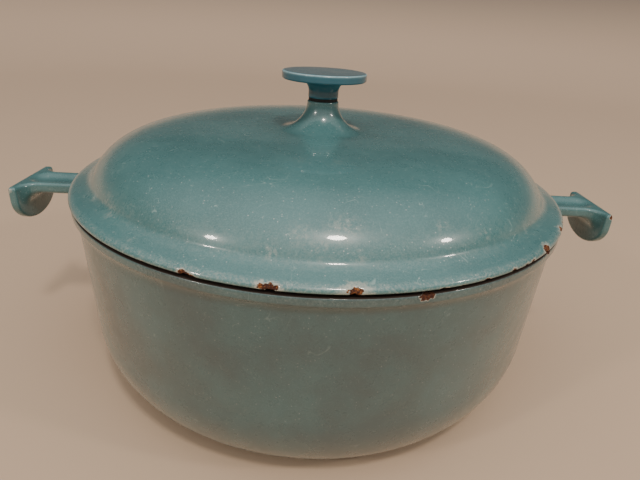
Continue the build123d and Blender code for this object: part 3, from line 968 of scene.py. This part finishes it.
def build_insert(material):
    """The brass bush: knurled above and below a groove that locks it in the knob."""
    groove_radius = INSERT_RADIUS - INSERT_GROOVE_DEPTH
    groove_foot = KNOB_FOOT + INSERT_GROOVE_FOOT
    groove_top = KNOB_FOOT + INSERT_GROOVE_TOP
    outline, _ = chain(
        line((INSERT_BORE, KNOB_FOOT), (INSERT_RADIUS, KNOB_FOOT), 0.6),
        line((INSERT_RADIUS, KNOB_FOOT), (INSERT_RADIUS, groove_foot), 0.35),
        line((groove_radius, groove_foot + 0.1), (groove_radius, groove_top - 0.1), 0.7),
        line((INSERT_RADIUS, groove_top), (INSERT_RADIUS, INSERT_TOP), 0.35),
        line((INSERT_RADIUS, INSERT_TOP), (INSERT_BORE, INSERT_TOP), 0.6),
        line((INSERT_BORE, INSERT_TOP), (INSERT_BORE, KNOB_FOOT + 0.5), 0.5),
    )
    angles = np.linspace(0, FULL_TURN, 144, endpoint=False)
    points, faces = lathe(outline + [0, SEAM], angles, closed=True)
    reach = np.hypot(points[:, 0], points[:, 1])
    turn = np.arctan2(points[:, 1], points[:, 0])
    height = points[:, 2] - SEAM - KNOB_FOOT
    round_part, lean = turn * KNURLS, height * KNURL_LEAN
    knurl = np.abs(np.sin(round_part + lean) * np.sin(round_part - lean))
    knurled = reach > INSERT_RADIUS - 0.1
    knurled &= (height > KNURL_MARGIN) & (height < INSERT_TOP - KNOB_FOOT - KNURL_MARGIN)
    cut = np.where(knurled, KNURL_DEPTH * (1 - knurl), 0)
    points[:, :2] *= ((reach - cut) / reach)[:, None]
    faces, _ = turned_out(points, faces)
    piece("knob_insert_bush", points, faces, material, "knob", "insert_brass", "knob_insert")


def head_field(p):
    """The screw's slotted pan head, as a distance in mm from its surface. Heights count from the seam."""
    foot = SCREW_SEAT - HEAD_HEIGHT
    dish = soft_and(np.hypot(p[:, 0], p[:, 1]) - HEAD_RADIUS, foot - p[:, 2], HEAD_ROUND)
    dish = soft_and(dish, p[:, 2] - SCREW_SEAT, 0.25)
    slot = soft_and(np.abs(p[:, 1]) - SLOT_HALF, p[:, 2] - (foot + SLOT_DEPTH), 0.05)
    return soft_and(dish, -slot, 0.15)


def build_screw(material):
    """Slotted pan head and a shank with a rolled thread. The shank is a tube, open at its tip."""
    heights = np.arange(SCREW_SEAT - 0.6, SCREW_TIP + 0.01, THREAD_PITCH / 10)
    angles = np.linspace(0, FULL_TURN, 40, endpoint=False)
    outline = np.column_stack((np.full(len(heights), SCREW_RADIUS), heights))
    shank, shank_faces = lathe(outline, angles, closed=False)
    phase = (shank[:, 2] / THREAD_PITCH - np.arctan2(shank[:, 1], shank[:, 0]) / FULL_TURN) % 1
    ridge = np.clip(np.abs(phase - 0.5) * 2.6 - 0.15, 0, 1)
    start = np.clip((shank[:, 2] - SCREW_SEAT - 1.5) / 1.0, 0, 1)
    taper = np.clip((SCREW_TIP - shank[:, 2]) / 0.8, 0, 1)
    reach = SCREW_RADIUS - THREAD_DEPTH * (1 - ridge) * start - 0.5 * (1 - taper)
    shank[:, :2] *= (reach / SCREW_RADIUS)[:, None]
    shank_faces, _ = turned_out(shank, shank_faces)
    low, high = (-6.6, -6.6, SCREW_SEAT - 4.2), (6.6, 6.6, SCREW_SEAT + 0.5)
    head, head_faces = surface_net(head_field, low, high, 0.22)
    points = np.concatenate((shank, head)) + [0, 0, SEAM]
    faces = np.concatenate((shank_faces, head_faces + len(shank)))
    piece("knob_screw_m6", points, faces, material, "lid", "fixing_steel", "knob_screw")


def dress(node, material, width):
    """Give a CAD node its material and softened edges."""
    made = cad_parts[node]
    made.data.materials.clear()
    made.data.materials.append(material)
    soften = made.modifiers.new("soft_edges", "BEVEL")
    soften.width = width * MM
    soften.segments = 3
    soften.limit_method = "ANGLE"


# Stage


def pale_floor():
    """A pale floor that curves up into a far backdrop."""
    outline, _ = chain(
        line((0.001, 0), (FLOOR_RADIUS, 0), 150),
        arc((FLOOR_RADIUS, BACKDROP_RADIUS), BACKDROP_RADIUS, -90, -10, 14),
    )
    points, faces = lathe(outline, np.linspace(0, FULL_TURN, 96, endpoint=False), closed=False)
    mesh = bpy.data.meshes.new("floor")
    mesh.from_pydata((points * MM).tolist(), [], faces[:, ::-1].tolist())
    mesh.shade_smooth()
    floor = bpy.data.objects.new("floor", mesh)
    bpy.context.scene.collection.objects.link(floor)
    shader = Shader("pale_floor")
    upward = shader.ramp(shader.axis("Z"), 90, 560)
    shader.set(
        Base_Color=shader.mix(upward, (0.58, 0.43, 0.31), (0.08, 0.08, 0.08)),
        Roughness=0.6,
        Normal=shader.bump(shader.noise(1.5, 3.0), 0.02),
    )
    mesh.materials.append(shader.material)


def soft_sky():
    """A warm white sky, bright overhead and a little in front, and dark at the horizon."""
    world = bpy.data.worlds.new("studio")
    world.use_nodes = True
    nodes, links = world.node_tree.nodes, world.node_tree.links
    background = nodes["Background"]
    background.inputs["Color"].default_value = (1.0, 0.95, 0.90, 1)
    direction = nodes.new("ShaderNodeTexCoord")
    height = nodes.new("ShaderNodeVectorMath")
    height.operation = "DOT_PRODUCT"
    height.inputs[1].default_value = (0, -0.35, 0.94)
    bright = nodes.new("ShaderNodeMapRange")
    for name, number in (("From Min", 0.32), ("From Max", 0.95), ("To Min", 0.02), ("To Max", 1.30)):
        bright.inputs[name].default_value = number
    links.new(direction.outputs["Generated"], height.inputs[0])
    links.new(height.outputs["Value"], bright.inputs["Value"])
    links.new(bright.outputs["Result"], background.inputs["Strength"])
    bpy.context.scene.world = world


def round_lamps():
    """Three small round lamps in front of the pot, which make its highlights."""
    lamps = [
        ("lamp_left", (-1.43, -1.10, 1.12), 7.0, 0.18),
        ("lamp_centre", (0.20, -0.90, 1.52), 10.0, 0.20),
        ("lamp_right", (1.62, -0.70, 1.21), 7.0, 0.18),
    ]
    target = Vector((0, 0, 0.1))
    for name, place, power, size in lamps:
        data = bpy.data.lights.new(name, "AREA")
        data.energy = power
        data.shape = "DISK"
        data.size = size
        data.color = (1.0, 0.90, 0.79)
        lamp = bpy.data.objects.new(name, data)
        lamp.location = place
        lamp.rotation_euler = (target - Vector(place)).to_track_quat("-Z", "Y").to_euler()
        bpy.context.scene.collection.objects.link(lamp)


def camera():
    """Looks down on the pot from close in front, the handles turned slightly, the frame rolled slightly."""
    distance, height, lens = 0.2931, 0.0922, 27.56
    yaw, pan, tilt, roll = math.radians(2.0), 0.0112, 0.4299, 0.0621
    forward = Vector((math.sin(pan) * math.cos(tilt), math.cos(pan) * math.cos(tilt), -math.sin(tilt)))
    level = Vector((math.cos(pan), -math.sin(pan), 0))
    above = level.cross(forward)
    right = math.cos(roll) * level + math.sin(roll) * above
    up = -math.sin(roll) * level + math.cos(roll) * above
    turn = Matrix.Rotation(-yaw, 3, "Z")
    axes = [turn @ right, turn @ up, turn @ -forward]
    data = bpy.data.cameras.new("camera")
    data.lens = lens
    data.sensor_width = 36
    data.clip_start = 0.02
    made = bpy.data.objects.new("camera", data)
    spot = turn @ Vector((0, -distance, height + SEAM * MM))
    made.matrix_world = Matrix.Translation(spot) @ Matrix(axes).transposed().to_4x4()
    bpy.context.scene.collection.objects.link(made)
    bpy.context.scene.camera = made


camera()
pale_floor()
soft_sky()
round_lamps()
lid_enamel = enamel("lid_enamel", 0.85)
pot_enamel = enamel("pot_enamel", 0.3)
steel = metal("zinc_steel", (0.62, 0.61, 0.58), (0.42, 0.40, 0.37), 0.28, 0.6)
build_pot(pot_enamel)
build_lid(lid_enamel)
build_knob(phenolic())
build_insert(metal("brass", (0.78, 0.58, 0.26), (0.55, 0.38, 0.16), 0.25, 0.6))
build_screw(steel)
dress("knob_gasket", fibre(), 0.25)
dress("flat_washer", steel, 0.2)
dress("spring_washer", steel, 0.2)
